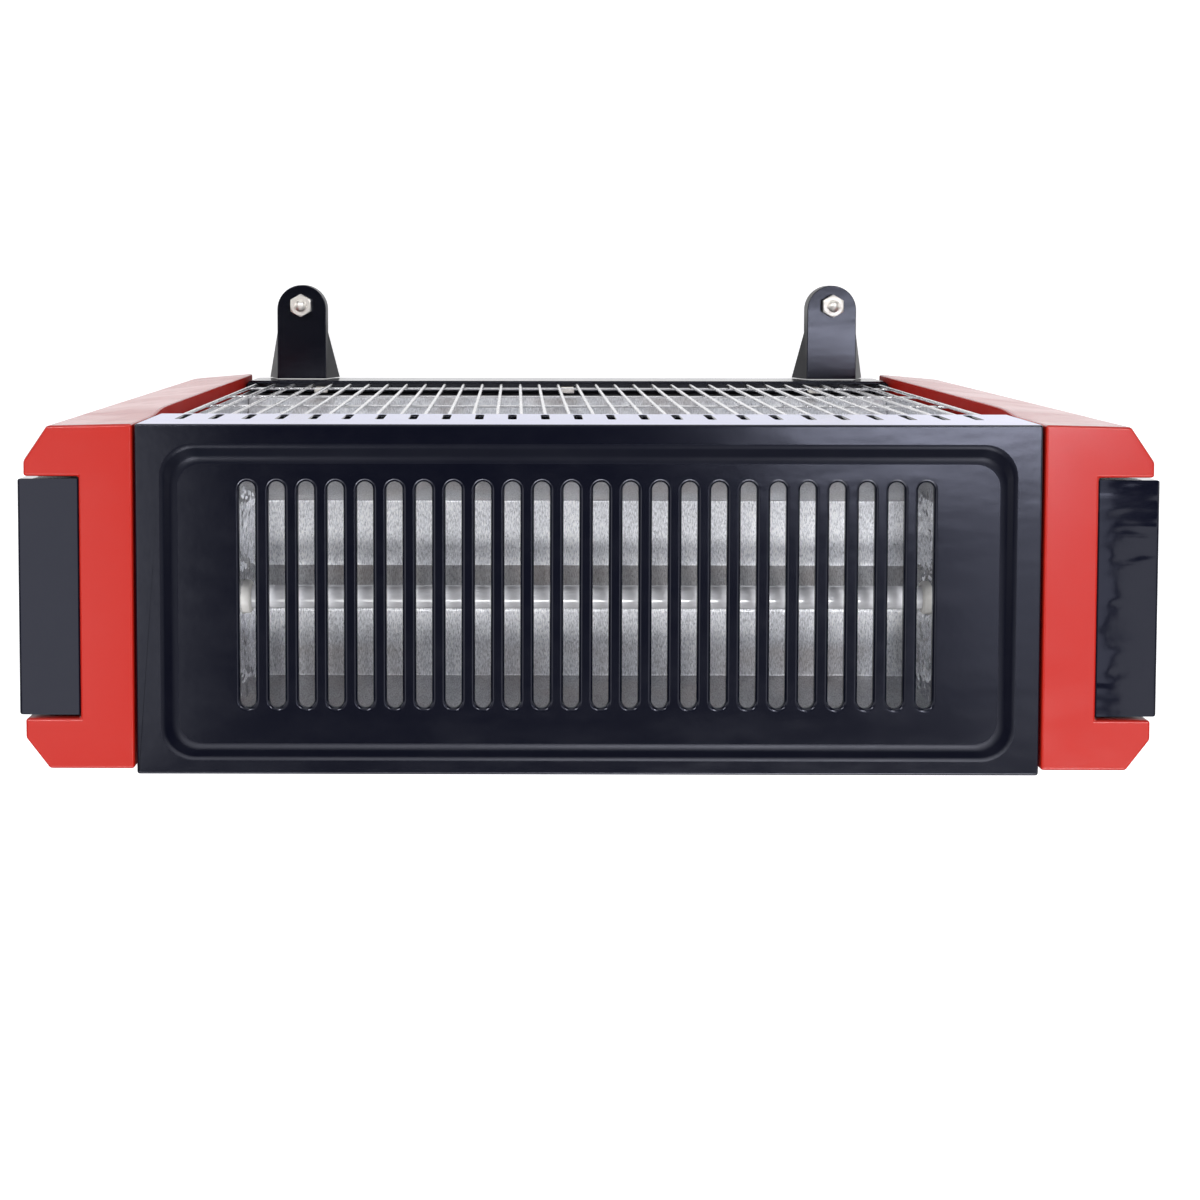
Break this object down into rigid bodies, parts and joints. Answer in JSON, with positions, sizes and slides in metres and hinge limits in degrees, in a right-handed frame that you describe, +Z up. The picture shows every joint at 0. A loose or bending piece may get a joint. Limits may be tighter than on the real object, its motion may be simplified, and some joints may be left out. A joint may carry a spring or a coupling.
{
  "type": "quartz heater",
  "caption": "Upright quartz room heater with a slotted warm-air top, front wire guard, moulded side caps with grip strips, and bracket legs.",
  "frame": {"origin": "on the floor under the middle of the heater, at the base of its rubber feet", "axes": "+X towards the left grip strip as seen from behind the heater, -Y out through the wire guard, +Z up through the slotted top"},
  "size_m": [0.4018, 0.2184, 0.335],
  "materials": {
    "black_enamel": "gloss",
    "red_plastic": "satin",
    "black_plastic": "gloss",
    "guard_chrome": "bright",
    "galvanised": "bright galvanised sheet",
    "quartz": "milky quartz glass, nearly opaque",
    "ceramic": "matte",
    "coil_alloy": "oxidised resistance wire",
    "nickel": "nickel plate",
    "rubber": "matte",
    "switch_black": "satin",
    "phenolic": "matte"
  },
  "bodies": {
    "heater": {"top_panel": "black_enamel", "bottom_pan": "black_enamel", "rear_cover": "black_enamel", "side_cap_left": "red_plastic", "side_cap_right": "red_plastic", "grip_left": "black_plastic", "grip_right": "black_plastic", "wire_guard": "guard_chrome", "guard_clip_1": "nickel", "guard_clip_2": "nickel", "guard_clip_3": "nickel", "front_reflector": "galvanised", "top_reflector": "galvanised", "top_wall_left": "galvanised", "top_wall_right": "galvanised", "end_plate_left": "galvanised", "end_plate_right": "galvanised", "quartz_tube_upper": "quartz", "quartz_tube_lower": "quartz", "quartz_tube_top": "quartz", "ceramic_cap_upper_left": "ceramic", "ceramic_cap_upper_right": "ceramic", "ceramic_cap_lower_left": "ceramic", "ceramic_cap_lower_right": "ceramic", "ceramic_cap_top_left": "ceramic", "ceramic_cap_top_right": "ceramic", "heating_coil_upper": "coil_alloy", "heating_coil_lower": "coil_alloy", "heating_coil_top": "coil_alloy", "leg_front_left": "black_enamel", "leg_front_right": "black_enamel", "leg_rear_left": "black_enamel", "leg_rear_right": "black_enamel", "foot_front_left": "rubber", "foot_front_right": "rubber", "foot_rear_left": "rubber", "foot_rear_right": "rubber", "stud_front_left": "nickel", "stud_front_right": "nickel", "stud_rear_left": "nickel", "stud_rear_right": "nickel", "nut_front_left": "nickel", "nut_front_right": "nickel", "nut_rear_left": "nickel", "nut_rear_right": "nickel", "switch_housing_1": "switch_black", "switch_housing_2": "switch_black", "switch_housing_3": "switch_black", "tip_switch_body": "phenolic", "cord_bush": "rubber", "terminal_block": "phenolic", "thermal_cutout": "phenolic"},
    "rocker_body_1": {"rocker_1": "switch_black"},
    "rocker_body_2": {"rocker_2": "switch_black"},
    "rocker_body_3": {"rocker_3": "switch_black"},
    "plunger": {"tip_plunger": "switch_black"}
  },
  "joints": [
    {"name": "rocker_1_switch", "type": "hinge", "parent": "heater", "child": "rocker_body_1", "pos_m": [-0.1943, -0.0006, 0.213], "axis": [0, 1, 0], "range_deg": [0, 18]},
    {"name": "rocker_2_switch", "type": "hinge", "parent": "heater", "child": "rocker_body_2", "pos_m": [-0.1943, -0.0006, 0.179], "axis": [0, 1, 0], "range_deg": [0, 18]},
    {"name": "rocker_3_switch", "type": "hinge", "parent": "heater", "child": "rocker_body_3", "pos_m": [-0.1943, -0.0006, 0.145], "axis": [0, 1, 0], "range_deg": [0, 18]},
    {"name": "tip_plunger_travel", "type": "slide", "parent": "heater", "child": "plunger", "axis": [0, 0, -1], "range_m": [0, 0.006], "stiffness_N_per_m": 60, "springref_m": 0.012}
  ]
}
